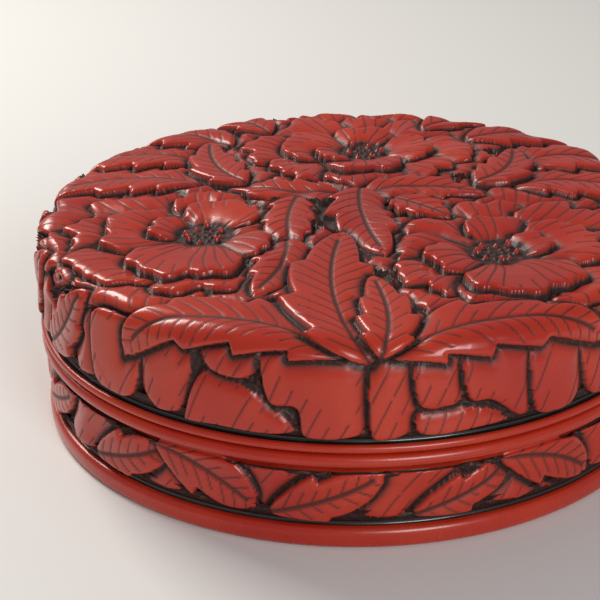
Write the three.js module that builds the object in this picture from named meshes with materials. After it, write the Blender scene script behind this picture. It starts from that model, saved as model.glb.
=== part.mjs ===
// Round lacquered wooden incense box: a turned body, a lid and a thin locating rim.
// Millimetres, +Z up, origin at the centre of the foot on the table.
import * as THREE from 'three';

// Overall sizes
const LID_RADIUS = 40.2;
const BAND_RADIUS = 39.8;
const FOOT_RADIUS = 39.6;
const SEAM_HEIGHT = 12.0;
const LID_HEIGHT = 14.0;
const SEGMENTS = 48;

// Foot and carved band of the body
const FOOT_HEIGHT = 2.6;
const FOOT_ROUND = 0.9;
const RECESS_RADIUS = 33.0;
const RECESS_DEPTH = 1.0;
const RECESS_SLOPE = 0.8;
const GROOVE_DEPTH = 1.3;
const GROOVE_WIDTH = 0.7;
const BAND_ROUND = 0.6;

// Pair of beads that meet at the seam
const BEAD_RADIUS = 39.9;
const BODY_BEAD_HEIGHT = 1.6;
const LID_BEAD_HEIGHT = 1.0;
const BEAD_GROOVE = 0.25;
const LID_GROOVE_WIDTH = 0.7;

// Lid top
const SHOULDER_RADIUS = 3.0;
const CROWN_RISE = 0.35;
const TOP_THICKNESS = 4.2;
const CEILING_FILLET = 2.5;

// Inside and fits
const RIM_OUTER_RADIUS = 36.4;
const RIM_THICKNESS = 1.6;
const RIM_RISE = 4.0;
const RIM_SEAT_DEPTH = 5.0;
const RIM_EDGE = 0.5;
const FLOOR_THICKNESS = 3.2;
const FLOOR_FILLET = 2.5;
const SEAT_GAP = 0.3;
const LID_CLEARANCE = 0.3;

// Profile points are [radius, height] pairs.
function arc(radius, height, size, fromDegrees, toDegrees, steps) {
  const points = [];
  for (let i = 0; i <= steps; i += 1) {
    const angle = THREE.MathUtils.degToRad(fromDegrees + ((toDegrees - fromDegrees) * i) / steps);
    points.push([radius + size * Math.cos(angle), height + size * Math.sin(angle)]);
  }
  return points;
}

// Half-round bead between two heights, bulging to the bead radius.
function bead(low, high) {
  const size = (high - low) / 2;
  return arc(BEAD_RADIUS - size, low + size, size, -90, 90, 6);
}

function turned(name, profile, material) {
  const points = profile.map(([radius, height]) => new THREE.Vector2(radius, height));
  const geometry = new THREE.LatheGeometry(points, SEGMENTS);
  geometry.rotateX(Math.PI / 2);
  const mesh = new THREE.Mesh(geometry, material);
  mesh.name = name;
  return mesh;
}

const redLacquer = new THREE.MeshStandardMaterial({ color: 0x8e1a14, roughness: 0.28, metalness: 0 });
const bodyLacquer = redLacquer.clone();
const blackLacquer = new THREE.MeshStandardMaterial({ color: 0x120c0a, roughness: 0.25, metalness: 0 });

const wellRadius = RIM_OUTER_RADIUS - RIM_THICKNESS;
const rimSeatRadius = RIM_OUTER_RADIUS + SEAT_GAP;
const lidHollowRadius = RIM_OUTER_RADIUS + LID_CLEARANCE;
const bodyFaceHeight = SEAM_HEIGHT - SEAT_GAP / 2;
const lidFaceHeight = SEAM_HEIGHT + SEAT_GAP / 2;
const ledgeHeight = SEAM_HEIGHT - RIM_SEAT_DEPTH;
const floorHeight = RECESS_DEPTH + FLOOR_THICKNESS;

// Body: foot ring, dark groove, carved band, bead, rim seat and well.
function bodyProfile() {
  const bandLow = FOOT_HEIGHT + GROOVE_WIDTH;
  const beadLow = bodyFaceHeight - BODY_BEAD_HEIGHT;
  const bandHigh = beadLow - BEAD_GROOVE;
  const bandCentre = BAND_RADIUS - BAND_ROUND;
  const footCentre = FOOT_RADIUS - FOOT_ROUND;
  return [
    [0, RECESS_DEPTH],
    [RECESS_RADIUS, RECESS_DEPTH],
    [RECESS_RADIUS + RECESS_SLOPE, 0],
    ...arc(footCentre, FOOT_ROUND, FOOT_ROUND, -90, 0, 3),
    ...arc(footCentre, FOOT_HEIGHT - FOOT_ROUND, FOOT_ROUND, 0, 90, 3),
    [BAND_RADIUS - GROOVE_DEPTH, FOOT_HEIGHT],
    [BAND_RADIUS - GROOVE_DEPTH, bandLow],
    ...arc(bandCentre, bandLow + BAND_ROUND, BAND_ROUND, -90, 0, 3),
    ...arc(bandCentre, bandHigh - BAND_ROUND, BAND_ROUND, 0, 90, 3),
    ...bead(beadLow, bodyFaceHeight),
    [rimSeatRadius, bodyFaceHeight],
    [rimSeatRadius, ledgeHeight],
    [wellRadius, ledgeHeight],
    ...arc(wellRadius - FLOOR_FILLET, floorHeight + FLOOR_FILLET, FLOOR_FILLET, 0, -90, 4),
    [0, floorHeight],
  ];
}

// Lid: hollow that drops over the rim, bead, deep groove, carved side, shoulder and crowned top.
function lidProfile() {
  const top = SEAM_HEIGHT + LID_HEIGHT;
  const ceiling = top - TOP_THICKNESS;
  const beadHigh = lidFaceHeight + LID_BEAD_HEIGHT;
  const sideLow = beadHigh + LID_GROOVE_WIDTH;
  const sideCentre = LID_RADIUS - BAND_ROUND;
  const shoulderCentre = LID_RADIUS - SHOULDER_RADIUS;
  const shoulderHeight = top - CROWN_RISE - SHOULDER_RADIUS;
  const crown = [];
  for (let i = 1; i <= 4; i += 1) {
    const share = 1 - i / 4;
    crown.push([shoulderCentre * share, top - CROWN_RISE * share * share]);
  }
  return [
    [0, ceiling],
    ...arc(lidHollowRadius - CEILING_FILLET, ceiling - CEILING_FILLET, CEILING_FILLET, 90, 0, 4),
    [lidHollowRadius, lidFaceHeight],
    ...bead(lidFaceHeight, beadHigh),
    [LID_RADIUS - GROOVE_DEPTH, beadHigh],
    [LID_RADIUS - GROOVE_DEPTH, sideLow],
    ...arc(sideCentre, sideLow + BAND_ROUND, BAND_ROUND, -90, 0, 3),
    ...arc(shoulderCentre, shoulderHeight, SHOULDER_RADIUS, 0, 90, 6),
    ...crown,
  ];
}

// Locating rim: a thin ring let into the body's mouth, standing above the seam to hold the lid.
function rimProfile() {
  const low = ledgeHeight + SEAT_GAP;
  const high = SEAM_HEIGHT + RIM_RISE;
  const outer = RIM_OUTER_RADIUS;
  const inner = wellRadius;
  return [
    [inner, low],
    [outer, low],
    ...arc(outer - RIM_EDGE, high - RIM_EDGE, RIM_EDGE, 0, 90, 2),
    ...arc(inner + RIM_EDGE, high - RIM_EDGE, RIM_EDGE, 90, 180, 2),
    [inner, low],
  ];
}

const incenseBox = new THREE.Group();
incenseBox.add(turned('body', bodyProfile(), bodyLacquer));
incenseBox.add(turned('inner_rim', rimProfile(), blackLacquer));
incenseBox.add(turned('lid', lidProfile(), redLacquer));

export default incenseBox;
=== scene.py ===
"""Round carved red lacquer incense box with three blossoms on the lid. Metres, +Z up."""
import math

import bpy
import numpy as np
from mathutils import Matrix, Vector


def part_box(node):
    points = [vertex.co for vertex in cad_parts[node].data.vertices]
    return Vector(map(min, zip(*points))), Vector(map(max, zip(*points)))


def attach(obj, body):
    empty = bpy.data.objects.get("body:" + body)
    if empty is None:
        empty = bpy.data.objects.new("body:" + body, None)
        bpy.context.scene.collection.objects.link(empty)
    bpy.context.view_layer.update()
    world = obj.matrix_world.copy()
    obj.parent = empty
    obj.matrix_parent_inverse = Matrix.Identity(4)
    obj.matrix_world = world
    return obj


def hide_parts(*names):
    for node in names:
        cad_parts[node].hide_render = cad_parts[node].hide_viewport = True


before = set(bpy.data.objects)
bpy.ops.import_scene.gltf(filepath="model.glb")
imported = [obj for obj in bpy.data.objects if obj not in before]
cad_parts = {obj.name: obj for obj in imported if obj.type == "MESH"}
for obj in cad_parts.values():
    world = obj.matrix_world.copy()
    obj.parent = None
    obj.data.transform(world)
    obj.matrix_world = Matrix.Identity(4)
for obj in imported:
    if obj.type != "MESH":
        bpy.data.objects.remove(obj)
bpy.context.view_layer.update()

MM = 0.001
ON_AXIS = 1e-6

# Blank sizes in millimetres: the turned forms that the carving is cut into
LID_LOW, LID_HIGH = (corner[2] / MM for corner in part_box("lid"))
BODY_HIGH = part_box("body")[1][2] / MM
LID_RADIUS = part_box("lid")[1][0] / MM
BODY_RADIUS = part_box("body")[1][0] / MM
RIM_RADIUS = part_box("inner_rim")[1][0] / MM
RIM_LOW, RIM_HIGH = (corner[2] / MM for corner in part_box("inner_rim"))
RIM_THICKNESS = 1.6
RIM_EDGE = 0.5
FIT_GAP = 0.3
BEAD_RADIUS = BODY_RADIUS
LID_BEAD = 1.0
BODY_BEAD = 1.6
GROOVE_WIDTH = 0.7
BEAD_GROOVE = 0.25
GROOVE_DEPTH = 1.3
SHOULDER = 3.0
CROWN = 0.35
LID_THICKNESS = 4.2
FILLET = 2.5
FOOT_RADIUS = 39.6
FOOT_HEIGHT = 2.6
FOOT_ROUND = 0.9
RECESS_RADIUS = 33.0
RECESS_DEPTH = 1.0
RECESS_SLOPE = 0.8
FLOOR_HEIGHT = 4.2
BAND_RADIUS = 39.8
BAND_ROUND = 0.6

# Mesh density
CARVED_STEPS = 1200
PLAIN_STEPS = 256
CARVE_STEP = 0.22

# Radius of the surface map at the start of a profile, and how much it grows to the end
MAP_START = 0.02
MAP_GROWTH = 0.47

# Carving depths and widths
GROUND = 1.45
EDGE_DROP = 0.36
EDGE_WIDTH = 0.28
TUCK_DROP = 1.1
TUCK_WIDTH = 1.6
LINE_WIDTH = 0.75
VEIN_HALF_WIDTH = 0.15
VEIN_DEPTH = 0.07
REACH = 5.0
MAX_DEPTH = 1.5
FAR = 9.0
STAMEN_FIELD = 2.6
STAMEN_RADIUS = 0.42
LOBE_STROKE_SPACING = 2.3

# How often each motif is repeated
FILLER_LEAVES = 60
SIDE_LOBES = 15
SIDE_LEAVES = 14
BAND_REPEATS = 18
STAMEN_COUNT = 19

# Golden angle, which spreads points evenly: degrees for the leaves, radians for the stamens
GOLDEN_ANGLE = 137.508
STAMEN_TURN = 2.39996


# Carved shapes: an outline and a surface, in the flattened surface of the blank

def smooth_closed(points, steps=6):
    """Closed Catmull-Rom curve through a few points."""
    p = np.array(points, float)
    a, b, c, d = np.roll(p, 1, 0), p, np.roll(p, -1, 0), np.roll(p, -2, 0)
    out = []
    for t in np.arange(steps) / steps:
        out.append(0.5 * (2 * b + (c - a) * t + (2 * a - 5 * b + 4 * c - d) * t ** 2
                          + (3 * b - a - 3 * c + d) * t ** 3))
    return np.stack(out, 1).reshape(-1, 2)


def stroke_hash(index, seed):
    """Number from 0 to 1 that looks random and is the same each time."""
    return np.modf(np.abs(np.sin(index * 12.9898 + seed * 7.233) * 43758.5453))[0]


def petal(root, angle, reach, half_angle, seed, level=0.0, start=1.5, notch=0.07):
    """Fan-shaped petal round a root, with a scalloped free edge and fine strokes from it."""
    a0 = math.radians(angle)
    half = math.radians(half_angle)
    u = np.linspace(-1, 1, 41)
    wave = 0.03 * np.sin(8.5 * u + seed * 2.1) + 0.018 * np.sin(19 * u + seed)
    cleft = np.exp(-((u - 0.15) / 0.1) ** 2)
    edge = reach * (1 - 0.34 * np.abs(u) ** 3.2 + wave - notch * cleft)
    r = np.concatenate([[start], [0.55 * reach], edge, [0.55 * reach], [start]])
    a = a0 + half * np.concatenate([[-0.5, -0.93], u, [0.93, 0.5]])
    outline = np.stack([root[0] + r * np.cos(a), root[1] + r * np.sin(a)], 1)
    half_wave = half / 4.5
    spacing = 1.6 / (0.8 * reach)

    def surface(x, y, inside):
        dx, dy = x - root[0], y - root[1]
        radius = np.hypot(dx, dy)
        turn = (np.arctan2(dy, dx) - a0 + math.pi) % (2 * math.pi) - math.pi
        k = turn / spacing + 0.22 * np.sin(radius * 0.5 + seed)
        near = np.abs(k - np.round(k)) * spacing * radius
        length = reach * (0.06 + 0.42 * stroke_hash(np.round(k), seed))
        line = np.clip(1.25 - near / VEIN_HALF_WIDTH, 0, 1) * (inside < length) * (inside > 0.35)
        rise = np.clip(radius / reach, 0, 1)
        swell = 0.10 * np.sin(turn / half_wave + seed)
        return level + 0.75 * (1 - rise) + swell * np.clip(inside, 0, 1), line

    return outline, surface


def leaf(start, bend, tip, width, seed, level=0.1, lobes=4, spacing=2.1):
    """Leaf along a bent midrib, with toothed sides, a cut midrib and slanting side veins."""
    p0, p1, p2 = (np.array(p, float) for p in (start, bend, tip))
    t = np.linspace(0, 1, 49)
    rib = np.outer((1 - t) ** 2, p0) + np.outer(2 * t * (1 - t), p1) + np.outer(t ** 2, p2)
    tangent = np.gradient(rib, axis=0)
    tangent /= np.linalg.norm(tangent, axis=1)[:, None]
    normal = np.stack([-tangent[:, 1], tangent[:, 0]], 1)
    saw = np.modf(t * lobes + 0.15)[0]
    half = width * np.sin(math.pi * t ** 0.8) ** 0.75 * (0.76 + 0.36 * saw)
    half[0] = half[-1] = 0.05
    outline = np.concatenate([rib + normal * half[:, None], (rib - normal * half[:, None])[::-1]])
    along = np.concatenate([[0], np.cumsum(np.linalg.norm(np.diff(rib, axis=0), axis=1))])

    def surface(x, y, inside):
        pts = np.stack([x, y], 1)
        best = np.full(len(x), 1e9)
        place = np.zeros(len(x))
        for i in range(0, len(rib) - 1, 2):
            a, b = rib[i], rib[i + 2]
            ab = b - a
            f = np.clip(((pts - a) @ ab) / (ab @ ab), 0, 1)
            d = np.hypot(*(pts - a - f[:, None] * ab).T)
            closer = d < best
            best = np.where(closer, d, best)
            place = np.where(closer, along[i] + f * (along[i + 2] - along[i]), place)
        k = (place - 0.95 * best) / spacing
        near = np.abs(k - np.round(k)) * spacing * 0.72
        length = width * (0.35 + 0.6 * stroke_hash(np.round(k), seed))
        side = np.clip(1.2 - near / VEIN_HALF_WIDTH, 0, 1) * (best < length) * (inside > 0.3)
        rib_line = np.clip(1.8 - best / 0.22, 0, 1) * (place < 0.9 * along[-1])
        sag = 0.4 * np.exp(-best / 1.6)
        return level + sag, np.maximum(side, rib_line)

    return outline, surface


def lobe(points, seed, level=0.0, slant=0.6):
    """Smooth rounded lobe with a few short slanting strokes."""
    outline = smooth_closed(points)
    centre = outline.mean(0)
    axis = centre / np.linalg.norm(centre)

    def surface(x, y, inside):
        radial = (x - centre[0]) * axis[0] + (y - centre[1]) * axis[1]
        across = -(x - centre[0]) * axis[1] + (y - centre[1]) * axis[0]
        k = (across + slant * radial) / LOBE_STROKE_SPACING + 0.3
        near = np.abs(k - np.round(k)) * LOBE_STROKE_SPACING * 0.85
        length = 0.6 + 2.4 * stroke_hash(np.round(k), seed)
        line = np.clip(1.2 - near / VEIN_HALF_WIDTH, 0, 1) * (inside < length) * (inside > 0.25)
        return level + 0.12 * np.cos(across * 0.5 + seed), line

    return outline, surface


def dot(centre, radius, level):
    """Small round bead."""
    a = np.linspace(0, 2 * math.pi, 12, endpoint=False)
    outline = np.stack([centre[0] + radius * np.cos(a), centre[1] + radius * np.sin(a)], 1)

    def surface(x, y, inside):
        return level - 0.5 * np.sqrt(np.clip(inside / radius, 0, 1)), np.zeros(len(x))

    return outline, surface


def hollow(centre, radius, level):
    """Round dark hollow with a flat floor."""
    outline, _ = dot(centre, radius, level)

    def surface(x, y, inside):
        return np.full(len(x), level), np.clip(inside / 0.5, 0, 1)

    return outline, surface


def blossom(root, outer, cup, seed):
    """Outer petals as one list; the cup over them and the stamens in its dark middle as another."""
    petals = []
    for share, offset in ((1.12, 22), (0.88, 0)):
        for i, (angle, reach) in enumerate(outer):
            petals.append(petal(root, angle + offset, reach * share, 31, seed + i, 0.12))
    middle = []
    for i, (angle, reach, half) in enumerate(cup):
        middle.append(petal(root, angle, reach, half, seed + 20 + i, 0.0, notch=0.05))
    middle.append(hollow(root, 3.1, 1.1))
    stamens = []
    for i in range(STAMEN_COUNT):
        spread = STAMEN_FIELD * math.sqrt((i + 0.5) / STAMEN_COUNT)
        angle = i * STAMEN_TURN + seed
        place = (root[0] + spread * math.cos(angle), root[1] + spread * math.sin(angle))
        stamens.append(dot(place, STAMEN_RADIUS, 0.75))
    return petals, middle + stamens


# The carving of the lid, x to the right and y away from the viewer

BLOSSOM_SEEDS = (("back", 3), ("left", 11), ("right", 23))
# Middle of the stamens of each blossom
STAMENS = {"left": (-18.0, -8.5), "right": (17.0, -14.0), "back": (1.5, 22.0)}
# Direction in degrees and reach of each outer petal
OUTER = {
    "left": [(135, 20), (90, 15), (45, 12.5), (0, 11.5), (315, 16), (180, 19), (270, 20), (225, 21)],
    "right": [(90, 17), (135, 15), (180, 14), (45, 20), (0, 19), (225, 16.5), (315, 20), (270, 17)],
    "back": [(90, 16), (45, 17), (135, 18), (0, 17.5), (180, 19), (315, 16), (225, 17), (270, 16.5)],
}
# Direction, reach and half angle of each petal of the cup
CUP = {
    "left": [(75, 9.5, 46), (178, 12.5, 50), (-45, 9.5, 42), (-100, 14, 44), (165, 7, 40)],
    "right": [(78, 9.5, 46), (-152, 9, 42), (15, 12.5, 46), (-72, 13, 48), (25, 6.8, 40)],
    "back": [(90, 8.5, 52), (172, 11.5, 42), (5, 9.5, 44), (-90, 9.5, 52), (-150, 7, 34)],
}
# Start, bend, tip and half width; the first group lies low at the rim, the second on top
RIM_LEAVES = [
    ((-20, 8), (-30, 14), (-41, 4), 5.6), ((-20, 18), (-31, 23), (-42, 14), 5.6),
    ((-17, 24), (-26, 33), (-37, 27), 5.4), ((-12, 29), (-17, 39), (-27, 38), 3.8),
    ((20, 8), (31, 12), (41, 1), 5.6), ((20, 17), (31, 22), (42, 14), 5.6),
    ((16, 26), (27, 33), (38, 26), 5.4), ((10, 31), (18, 40), (28, 38), 3.8),
]
TOP_LEAVES = [
    ((-1, 5), (-9, 3), (-17, 9), 3.6), ((-14, 8), (-20, 13), (-20, 25), 3.6),
    ((1, 5), (9, 8), (17, 4), 3.8), ((16, 8), (22, 12), (22, 22), 3.6),
    ((-7, 3), (-9, -6), (-7, -14), 3.4), ((-8, -11), (-7, -18), (-11, -27), 3.6),
    ((1, 6), (0, -4), (4, -16), 4.2), ((5, 2), (8, 0), (12, -4), 3.2),
    ((4, -41), (12, -31), (31, -32), 5.0), ((1, -41), (-12, -29), (-29, -35), 5.4),
    ((2, -42), (-5, -27), (-1, -9), 5.6), ((3, -41), (5, -33), (2, -22), 3.2),
]
# Lobes on the front of the lid's side: turning angle in degrees and height over the seam
FRONT_LOBES = [
    [(-126, 11), (-121, 12), (-116, 10), (-117, 5), (-119, 2.4), (-123, 2.4), (-127, 6)],
    [(-117, 3), (-114, 8), (-108, 7.6), (-102, 5), (-99, 2.2), (-108, 1.8), (-116, 1.9)],
    [(-114, 12.5), (-109, 13), (-104.5, 12.6), (-104, 9.5), (-108, 8.2), (-113, 9)],
    [(-104, 12.6), (-96, 13.4), (-88, 12.8), (-87, 7), (-88, 2.2), (-97, 1.9), (-98.5, 5.4),
     (-103, 6)],
    [(-87, 12.4), (-82, 12.6), (-80.5, 9), (-80, 4), (-82, 2), (-87, 1.9)],
    [(-80, 4.6), (-74, 4.9), (-68, 4), (-64, 2.2), (-71, 1.8), (-79, 1.9)],
    [(-80.5, 12.2), (-76, 13), (-73, 12), (-73, 6.2), (-76, 5.3), (-80, 6)],
    [(-72.5, 11.6), (-66, 12.2), (-61.5, 10.5), (-61, 4), (-63, 2.6), (-68, 5.2), (-72, 6)],
    [(-137, 11), (-131, 12.4), (-126.5, 11), (-127, 4), (-131, 2), (-137, 3)],
    [(-61, 11), (-56, 12.4), (-51, 11.6), (-50, 5), (-54, 2), (-60, 2.6)],
    [(-51, 12), (-45, 12.6), (-41, 9), (-42, 3), (-47, 2), (-50, 4)],
]


def polar(angle, distance):
    """Point at an angle in degrees and a flattened distance from the middle."""
    a = math.radians(angle)
    return distance * math.cos(a), distance * math.sin(a)


def filler_leaves():
    """Low leaves under everything else, fanned out from the middle of the lid."""
    shapes = []
    for i in range(FILLER_LEAVES):
        angle = i * GOLDEN_ANGLE
        inner = 1 + 36 * math.sqrt(i / FILLER_LEAVES)
        shapes.append(leaf(polar(angle, inner), polar(angle + 6, inner + 5), polar(angle - 4, inner + 11),
                           5.2, i, 0.45))
    return shapes


def lid_shapes(side_top, side_low, seam_level):
    """side_top and side_low are the flattened distances of the upper and lower side edges."""
    shapes = filler_leaves()
    for i in range(SIDE_LOBES):
        angle = -46 + i * 18.8
        shapes.append(lobe([polar(angle + a, side_low - d) for a, d in
                            ((-9, 1), (-8, 7), (-1, 10), (7, 8), (9, 2), (0, 0.4))], i, 0.15))
    blossoms = [blossom(STAMENS[name], OUTER[name], CUP[name], seed) for name, seed in BLOSSOM_SEEDS]
    for petals, _ in blossoms:
        shapes += petals
    for i, (start, bend, tip, width) in enumerate(RIM_LEAVES):
        shapes.append(leaf(start, bend, tip, width, i))
    for i in range(SIDE_LEAVES):
        angle = -38 + i * 19.2
        shapes.append(leaf(polar(angle - 7, side_low - 0.5), polar(angle + 3, side_low - 3),
                           polar(angle + 8, side_top - 3), 3.4, i + 30, 0.0, 4))
    for i, points in enumerate(FRONT_LOBES):
        flat = [polar(a, side_low - (z - seam_level)) for a, z in points]
        shapes.append(lobe(flat, i + 50))
    for i, (start, bend, tip, width) in enumerate(TOP_LEAVES):
        shapes.append(leaf(start, bend, tip, width, i + 60, 0.05, 4))
    for _, middle in blossoms:
        shapes += middle
    return shapes


def band_shapes(low, high):
    """Leaves and lobes round the body, between two flattened distances."""
    shapes = []
    pitch = 360 / BAND_REPEATS
    for i in range(BAND_REPEATS):
        angle = i * pitch
        shapes.append(lobe([polar(angle + a, low + (high - low) * f) for a, f in
                            ((-9, 0.1), (-4, 0), (6, 0.05), (10, 0.5), (7, 0.95), (-6, 1.0), (-10, 0.6))],
                           i, 0.15, 0.9))
    for i in range(BAND_REPEATS):
        angle = i * pitch + 7 + 3 * math.sin(2.4 * i)
        width = 3.1 + 0.7 * math.sin(1.7 * i)
        root_side, tip_side = (high - 0.3, low + 0.2) if i % 3 else (low + 0.3, high - 0.2)
        bend = root_side + 0.25 * (tip_side - root_side)
        shapes.append(leaf(polar(angle - 10, root_side), polar(angle + 2, bend),
                           polar(angle + 9, tip_side), width, i + 7, 0.0, 2, 1.9))
    return shapes


# The carved height field

def signed_distance(x, y, outline):
    """Distance to a closed outline, positive inside."""
    best = np.full(len(x), 1e9)
    inside = np.zeros(len(x), bool)
    ends = np.roll(outline, -1, 0)
    for (ax, ay), (bx, by) in zip(outline, ends):
        ex, ey = bx - ax, by - ay
        size = ex * ex + ey * ey
        if size < 1e-12:
            continue
        f = np.clip(((x - ax) * ex + (y - ay) * ey) / size, 0, 1)
        best = np.minimum(best, (x - ax - f * ex) ** 2 + (y - ay - f * ey) ** 2)
        if ay != by:
            crosses = ((ay > y) != (by > y)) & (x < ex * (y - ay) / ey + ax)
            inside ^= crosses
    return np.where(inside, 1, -1) * np.sqrt(best)


def carve(x, y, shapes):
    """Depth under the blank, dark filling and cut lines at each point."""
    near = np.full(len(x), FAR)
    taken = np.zeros(len(x), bool)
    depth = np.zeros(len(x))
    dark = np.zeros(len(x))
    line = np.zeros(len(x))
    for outline, surface in reversed(shapes):
        low, high = outline.min(0) - REACH, outline.max(0) + REACH
        index = np.flatnonzero((x > low[0]) & (x < high[0]) & (y > low[1]) & (y < high[1]))
        inside = signed_distance(x[index], y[index], outline)
        mine = (inside > 0) & ~taken[index]
        j = index[mine]
        d = inside[mine]
        level, cut = surface(x[j], y[j], d)
        tuck = TUCK_DROP * np.exp(-near[j] / TUCK_WIDTH)
        depth[j] = level + EDGE_DROP * np.exp(-d / EDGE_WIDTH) + tuck + VEIN_DEPTH * cut
        dark[j] = np.exp(-(near[j] / LINE_WIDTH) ** 2)
        line[j] = cut
        taken[j] = True
        near[index] = np.where(inside > 0, near[index], np.minimum(near[index], -inside))
    ground = ~taken
    depth[ground] = GROUND * (1 - 0.7 * np.exp(-near[ground] / 0.3))
    dark[ground] = 1 - 0.5 * np.exp(-near[ground] / 0.15)
    return np.clip(depth, 0, MAX_DEPTH), dark, line


# Turned meshes

def arc(radius, height, size, start, end, steps):
    """Points of a round stretch of a profile, angles in degrees."""
    angles = np.radians(np.linspace(start, end, steps + 1))
    return [(radius + size * math.cos(a), height + size * math.sin(a)) for a in angles]


def dense(points, step):
    """The same profile with points no further apart than the step."""
    out = [points[0]]
    for a, b in zip(points, points[1:]):
        count = max(1, math.ceil(math.dist(a, b) / step))
        out += [(a[0] + (b[0] - a[0]) * i / count, a[1] + (b[1] - a[1]) * i / count)
                for i in range(1, count + 1)]
    return out


def assemble(parts):
    """Profile rows, their material and whether they are carved, from the stretches of a profile."""
    rows, mats, carved = [], [], []
    for points, material, is_carved, step in parts:
        fine = dense(points, step)
        if rows and math.dist(rows[-1], fine[0]) < 1e-6:
            fine = fine[1:]
        rows += fine
        mats += [material] * len(fine)
        carved += [is_carved] * len(fine)
    if rows[0][0] > ON_AXIS and math.dist(rows[0], rows[-1]) < 1e-6:
        rows, mats, carved = rows[:-1], mats[:-1], carved[:-1]
    return np.array(rows), mats, carved


def outward(rows):
    """Unit normals of a profile that keeps its solid on the left."""
    tangent = np.gradient(rows, axis=0)
    tangent /= np.maximum(np.linalg.norm(tangent, axis=1), 1e-9)[:, None]
    return np.stack([tangent[:, 1], -tangent[:, 0]], 1)


def carve_rows(rows, lengths, carved, theta, shapes_for):
    """Depth, dark filling and cut lines of every row at every angle."""
    fields = [np.zeros((len(rows), len(theta))) for _ in range(3)]
    if shapes_for:
        mask = np.flatnonzero(carved)
        flat, shapes = shapes_for(rows, lengths, mask)
        x = np.outer(flat, np.cos(theta)).ravel()
        y = np.outer(flat, np.sin(theta)).ravel()
        for target, values in zip(fields, carve(x, y, shapes)):
            target[mask] = values.reshape(len(mask), len(theta))
        fade = np.clip(np.arange(len(mask)) / 2, 0, 1)
        fields[0][mask] *= fade[:, None]
    return fields


def skin(rows, mats, steps):
    """Vertex numbers of each row, and the faces and face materials between the rows."""
    numbers, total = [], 0
    for radius, _ in rows:
        if radius < ON_AXIS:
            numbers.append(np.full(steps, total))
            total += 1
        else:
            numbers.append(total + np.arange(steps))
            total += steps
    pairs = [(i, i + 1) for i in range(len(rows) - 1)]
    if rows[0][0] > ON_AXIS:
        pairs.append((len(rows) - 1, 0))
    faces, face_mats = [], []
    for i, k in pairs:
        a, b = numbers[i], numbers[k]
        a_next, b_next = np.roll(a, -1), np.roll(b, -1)
        if a[0] == a[1]:
            corners = (a, b_next, b)
        elif b[0] == b[1]:
            corners = (a, a_next, b)
        else:
            corners = (a, a_next, b_next, b)
        faces += list(zip(*(corner.tolist() for corner in corners)))
        face_mats += [mats[k]] * steps
    return faces, face_mats


def per_vertex(rows, values):
    """One value for a row on the axis, and all values of the others, in vertex order."""
    return np.concatenate([v[:1] if radius < ON_AXIS else v for (radius, _), v in zip(rows, values)])


def revolve(name, parts, materials, body, node, shapes_for=None):
    """Revolve a profile. Each part of it is (points, material, carved, step)."""
    rows, mats, carved = assemble(parts)
    steps = CARVED_STEPS if shapes_for else PLAIN_STEPS
    theta = np.arange(steps) * 2 * math.pi / steps
    lengths = np.concatenate([[0], np.cumsum(np.linalg.norm(np.diff(rows, axis=0), axis=1))])
    depth, dark, line = carve_rows(rows, lengths, carved, theta, shapes_for)
    normal = outward(rows)
    radius = rows[:, :1] - normal[:, :1] * depth
    height = rows[:, 1:] - normal[:, 1:] * depth
    grid = np.stack([radius * np.cos(theta), radius * np.sin(theta), height], -1)
    for row, (distance, _) in zip(grid, rows):
        if distance < ON_AXIS:
            row[:] = row.mean(0)
    faces, face_mats = skin(rows, mats, steps)
    mesh = bpy.data.meshes.new(name)
    mesh.from_pydata((per_vertex(rows, grid) * MM).tolist(), [], faces)
    for material in materials:
        mesh.materials.append(material)
    mesh.polygons.foreach_set("material_index", face_mats)
    mesh.polygons.foreach_set("use_smooth", [True] * len(faces))
    for label, values in (("dark", dark), ("line", line)):
        attribute = mesh.attributes.new(label, "FLOAT", "POINT")
        attribute.data.foreach_set("value", per_vertex(rows, values))
    flatten(mesh, rows, lengths, theta)
    mesh.update()
    piece = bpy.data.objects.new(name, mesh)
    bpy.context.scene.collection.objects.link(piece)
    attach(piece, body)
    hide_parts(node)
    return piece


def flatten(mesh, rows, lengths, theta):
    """Surface map of one disc, each row a ring at its distance along the profile.

    A last row on the axis has one place on the outermost ring, so the faces round it cross the disc.
    """
    size = MAP_START + MAP_GROWTH * lengths / lengths[-1]
    if rows[0][0] < ON_AXIS:
        size[0] = 0
    size = size[:, None]
    rings = np.stack([0.5 + size * np.cos(theta), 0.5 + size * np.sin(theta)], -1)
    loops = np.empty(len(mesh.loops), int)
    mesh.loops.foreach_get("vertex_index", loops)
    layer = mesh.uv_layers.new(name="OFBake")
    layer.data.foreach_set("uv", per_vertex(rows, rings)[loops].ravel())


# Materials

RED_DEEP, RED_BRIGHT = (0.40, 0.016, 0.006), (0.50, 0.032, 0.009)
POWDER = (0.014, 0.005, 0.003)
BLACK_DEEP, BLACK_WARM = (0.010, 0.007, 0.006), (0.018, 0.010, 0.008)
FLOOR_COLOUR = (0.78, 0.77, 0.75, 1)
STUDIO_COLOUR = (0.8, 0.8, 0.82, 1)
STUDIO_STRENGTH = 0.32


def nodes_of(name):
    """New material with its node tree and its shader."""
    material = bpy.data.materials.new(name)
    material.use_nodes = True
    tree = material.node_tree
    return material, tree, tree.nodes["Principled BSDF"]


def add(tree, kind, **values):
    """New node; each value is a property of it or one of its sockets."""
    node = tree.nodes.new(kind)
    for key, value in values.items():
        if hasattr(node, key):
            setattr(node, key, value)
        else:
            node.inputs[key].default_value = value
    return node


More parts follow.
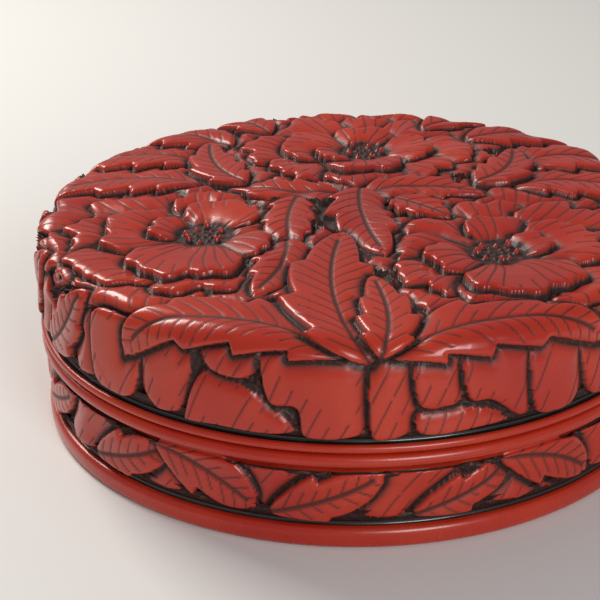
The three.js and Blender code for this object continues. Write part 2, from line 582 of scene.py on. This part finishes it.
def ramp(tree, source, stops):
    """Colour ramp over a value."""
    node = tree.nodes.new("ShaderNodeValToRGB")
    while len(node.color_ramp.elements) < len(stops):
        node.color_ramp.elements.new(0.5)
    for element, (place, colour) in zip(node.color_ramp.elements, stops):
        element.position = place
        element.color = (*colour, 1)
    tree.links.new(source, node.inputs["Fac"])
    return node.outputs["Color"]


def mix(tree, fac, a, b):
    """Mix of two colours, each a plain colour or a socket."""
    node = tree.nodes.new("ShaderNodeMix")
    node.data_type = "RGBA"
    tree.links.new(fac, node.inputs["Factor"])
    for socket, value in ((node.inputs["A"], a), (node.inputs["B"], b)):
        if isinstance(value, tuple):
            socket.default_value = (*value, 1)
        else:
            tree.links.new(value, socket)
    return node.outputs["Result"]


def maths(tree, operation, a, b):
    """Clamped arithmetic on two numbers or sockets."""
    node = tree.nodes.new("ShaderNodeMath")
    node.operation = operation
    node.use_clamp = True
    for socket, value in zip(node.inputs, (a, b)):
        if isinstance(value, (int, float)):
            socket.default_value = value
        else:
            tree.links.new(value, socket)
    return node.outputs[0]


def noise(tree, scale, detail=3.0):
    """Noise that stays with the piece."""
    coords = tree.nodes.new("ShaderNodeTexCoord")
    node = add(tree, "ShaderNodeTexNoise", Scale=scale, Detail=detail)
    tree.links.new(coords.outputs["Object"], node.inputs["Vector"])
    return node.outputs["Fac"]


def red_lacquer(carved):
    """Vermilion lacquer, brown-black powder left in the cuts of the carved part."""
    material, tree, shader = nodes_of("carved_red" if carved else "plain_red")
    base = ramp(tree, noise(tree, 60), [(0.35, RED_DEEP), (0.65, RED_BRIGHT)])
    rough = ramp(tree, noise(tree, 500), [(0.3, (0.24,) * 3), (0.7, (0.32,) * 3)])
    if carved:
        dark = add(tree, "ShaderNodeAttribute", attribute_name="dark").outputs["Fac"]
        line = add(tree, "ShaderNodeAttribute", attribute_name="line").outputs["Fac"]
        speckle = noise(tree, 2600, 2)
        cover = maths(tree, "MULTIPLY", maths(tree, "MULTIPLY", dark, 1.7), maths(tree, "ADD", speckle, 0.5))
        cover = maths(tree, "MAXIMUM", cover, maths(tree, "MULTIPLY", line, 0.85))
        base = mix(tree, cover, base, POWDER)
        rough = mix(tree, cover, rough, (0.75, 0.75, 0.75))
    tree.links.new(base, shader.inputs["Base Color"])
    tree.links.new(rough, shader.inputs["Roughness"])
    bump = add(tree, "ShaderNodeBump", Strength=0.12, Distance=0.0002)
    tree.links.new(noise(tree, 420), bump.inputs["Height"])
    tree.links.new(bump.outputs["Normal"], shader.inputs["Normal"])
    shader.inputs["Coat Weight"].default_value = 0.12
    shader.inputs["Coat Roughness"].default_value = 0.12
    return material


def black_lacquer():
    """Black lacquer of the inside, the underside and the grooves."""
    material, tree, shader = nodes_of("black_lacquer")
    base = ramp(tree, noise(tree, 90), [(0.4, BLACK_DEEP), (0.7, BLACK_WARM)])
    rough = ramp(tree, noise(tree, 300), [(0.3, (0.22,) * 3), (0.7, (0.30,) * 3)])
    tree.links.new(base, shader.inputs["Base Color"])
    tree.links.new(rough, shader.inputs["Roughness"])
    shader.inputs["Coat Weight"].default_value = 0.3
    return material


CARVED_RED = red_lacquer(True)
PLAIN_RED = red_lacquer(False)
BLACK = black_lacquer()
FINISHES = [CARVED_RED, PLAIN_RED, BLACK]
CARVED, PLAIN, DARK = range(3)


# The three pieces

def make_lid():
    """Lid: hollow, bead, dark groove, carved side and top."""
    hollow_radius = RIM_RADIUS + FIT_GAP
    ceiling = LID_HIGH - LID_THICKNESS
    bead_top = LID_LOW + LID_BEAD
    side_low = bead_top + GROOVE_WIDTH
    centre = LID_RADIUS - SHOULDER
    inside = [(0, ceiling)] + arc(hollow_radius - FILLET, ceiling - FILLET, FILLET, 90, 0, 8)
    inside.append((hollow_radius, LID_LOW))
    half = LID_BEAD / 2
    bead = [(hollow_radius, LID_LOW)] + arc(BEAD_RADIUS - half, LID_LOW + half, half, -90, 90, 12)
    groove = [bead[-1], (LID_RADIUS - GROOVE_DEPTH, bead_top), (LID_RADIUS - GROOVE_DEPTH, side_low)]
    side = [groove[-1]] + arc(LID_RADIUS - BAND_ROUND, side_low + BAND_ROUND, BAND_ROUND, -90, 0, 6)
    side += arc(centre, LID_HIGH - CROWN - SHOULDER, SHOULDER, 0, 90, 16)
    side += [(centre * (1 - f), LID_HIGH - CROWN * (1 - f) ** 2) for f in np.linspace(0.05, 1, 20)]

    def shapes_for(rows, lengths, mask):
        flat = lengths[-1] - lengths[mask]
        side_rows = mask[rows[mask, 0] > LID_RADIUS - 1e-3]
        low = lengths[-1] - lengths[side_rows[0]] + BAND_ROUND
        high = lengths[-1] - lengths[side_rows[-1]]
        return flat, lid_shapes(high, low, GROOVE_WIDTH + LID_BEAD + FIT_GAP / 2)

    parts = [(inside, DARK, False, 2.0), (bead, PLAIN, False, 0.5), (groove, DARK, False, 0.5),
             (side, CARVED, True, CARVE_STEP)]
    return revolve("carved_lid", parts, FINISHES, "cover", "lid", shapes_for)


def make_body():
    """Body: underside, foot, dark groove, carved band, bead and well."""
    well = RIM_RADIUS - RIM_THICKNESS
    seat = RIM_RADIUS + FIT_GAP
    ledge = RIM_LOW - FIT_GAP
    foot = FOOT_RADIUS - FOOT_ROUND
    band_low = FOOT_HEIGHT + GROOVE_WIDTH
    bead_low = BODY_HIGH - BODY_BEAD
    band_high = bead_low - BEAD_GROOVE
    under = [(0, RECESS_DEPTH), (RECESS_RADIUS, RECESS_DEPTH), (RECESS_RADIUS + RECESS_SLOPE, 0)]
    ring = [under[-1]] + arc(foot, FOOT_ROUND, FOOT_ROUND, -90, 0, 8)
    ring += arc(foot, FOOT_HEIGHT - FOOT_ROUND, FOOT_ROUND, 0, 90, 8)
    groove = [ring[-1], (BAND_RADIUS - GROOVE_DEPTH, FOOT_HEIGHT)]
    groove.append((BAND_RADIUS - GROOVE_DEPTH, band_low))
    band = [groove[-1]] + arc(BAND_RADIUS - BAND_ROUND, band_low + BAND_ROUND, BAND_ROUND, -90, 0, 6)
    band += arc(BAND_RADIUS - BAND_ROUND, band_high - BAND_ROUND, BAND_ROUND, 0, 90, 6)
    half = BODY_BEAD / 2
    bead = [band[-1]] + arc(BEAD_RADIUS - half, bead_low + half, half, -90, 90, 14)
    bead.append((seat, BODY_HIGH))
    mouth = [bead[-1], (seat, ledge), (well, ledge)]
    mouth += arc(well - FILLET, FLOOR_HEIGHT + FILLET, FILLET, 0, -90, 8) + [(0, FLOOR_HEIGHT)]

    def shapes_for(rows, lengths, mask):
        flat = BAND_RADIUS + lengths[mask[-1]] - lengths[mask]
        return flat, band_shapes(BAND_RADIUS + 0.5, float(flat[0]) - GROOVE_DEPTH)

    parts = [(under, DARK, False, 4.0), (ring, PLAIN, False, 0.6),
             (groove, DARK, False, 0.5), (band, CARVED, True, CARVE_STEP),
             (bead, PLAIN, False, 0.5), (mouth, DARK, False, 2.0)]
    return revolve("carved_body", parts, FINISHES, "base", "body", shapes_for)


def make_rim():
    """Thin ring in the body's mouth that the lid fits over."""
    inner = RIM_RADIUS - RIM_THICKNESS
    ring = [(inner, RIM_LOW), (RIM_RADIUS, RIM_LOW)]
    ring += arc(RIM_RADIUS - RIM_EDGE, RIM_HIGH - RIM_EDGE, RIM_EDGE, 0, 90, 6)
    ring += arc(inner + RIM_EDGE, RIM_HIGH - RIM_EDGE, RIM_EDGE, 90, 180, 6)
    ring.append((inner, RIM_LOW))
    return revolve("locating_rim", [(ring, 0, False, 1.0)], [BLACK], "base", "inner_rim")


# Stage, light and camera

VIEW_DISTANCE = 200.0
VIEW_ELEVATION = 24.61
VIEW_YAW = -1.96
FOCAL_PIXELS = 1543.08
PICTURE_PIXELS = 600
SENSOR = 36.0


def make_camera():
    """Camera at the viewing angle, aimed at the seam and turned a little to the left."""
    tilt = math.radians(VIEW_ELEVATION)
    yaw = math.radians(VIEW_YAW)
    target = Vector((0, 0, (LID_LOW + BODY_HIGH) / 2))
    place = target + VIEW_DISTANCE * Vector((0, -math.cos(tilt), math.sin(tilt)))
    ahead = (target - place).normalized()
    right = Vector((1, 0, 0))
    up = right.cross(ahead)
    turned_ahead = ahead * math.cos(yaw) + right * math.sin(yaw)
    turned_right = right * math.cos(yaw) - ahead * math.sin(yaw)
    camera = bpy.data.objects.new("camera", bpy.data.cameras.new("camera"))
    camera.data.sensor_width = SENSOR
    camera.data.lens = FOCAL_PIXELS / PICTURE_PIXELS * SENSOR
    camera.data.clip_start = 0.01
    basis = Matrix((turned_right, up, -turned_ahead)).transposed()
    camera.matrix_world = Matrix.Translation(place * MM) @ basis.to_4x4()
    bpy.context.scene.collection.objects.link(camera)
    bpy.context.scene.camera = camera


def make_stage():
    """Pale floor and soft even surroundings."""
    mesh = bpy.data.meshes.new("floor")
    size = 1.5
    mesh.from_pydata([(-size, -size, 0), (size, -size, 0), (size, size, 0), (-size, size, 0)], [],
                     [(0, 1, 2, 3)])
    material, _, shader = nodes_of("floor")
    shader.inputs["Base Color"].default_value = FLOOR_COLOUR
    shader.inputs["Roughness"].default_value = 0.6
    mesh.materials.append(material)
    floor = bpy.data.objects.new("floor", mesh)
    bpy.context.scene.collection.objects.link(floor)
    world = bpy.data.worlds.new("studio")
    world.use_nodes = True
    background = world.node_tree.nodes["Background"]
    background.inputs["Color"].default_value = STUDIO_COLOUR
    background.inputs["Strength"].default_value = STUDIO_STRENGTH
    bpy.context.scene.world = world


def make_light(name, place, target, size, power, colour=(1, 1, 1)):
    """Square soft light aimed at a point."""
    light = bpy.data.lights.new(name, "AREA")
    light.size = size
    light.energy = power
    light.color = colour
    lamp = bpy.data.objects.new(name, light)
    lamp.location = place
    lamp.rotation_euler = (Vector(target) - Vector(place)).to_track_quat("-Z", "Y").to_euler()
    bpy.context.scene.collection.objects.link(lamp)


make_camera()
make_lid()
make_body()
make_rim()
make_stage()
make_light("key", (-0.24, 0.22, 0.30), (0, 0, 0.02), 0.18, 1.5, (1, 0.95, 0.88))
make_light("front", (0.16, -0.38, 0.22), (0, 0, 0.012), 0.16, 0.9)

view = bpy.context.scene.view_settings
view.view_transform = "Standard"
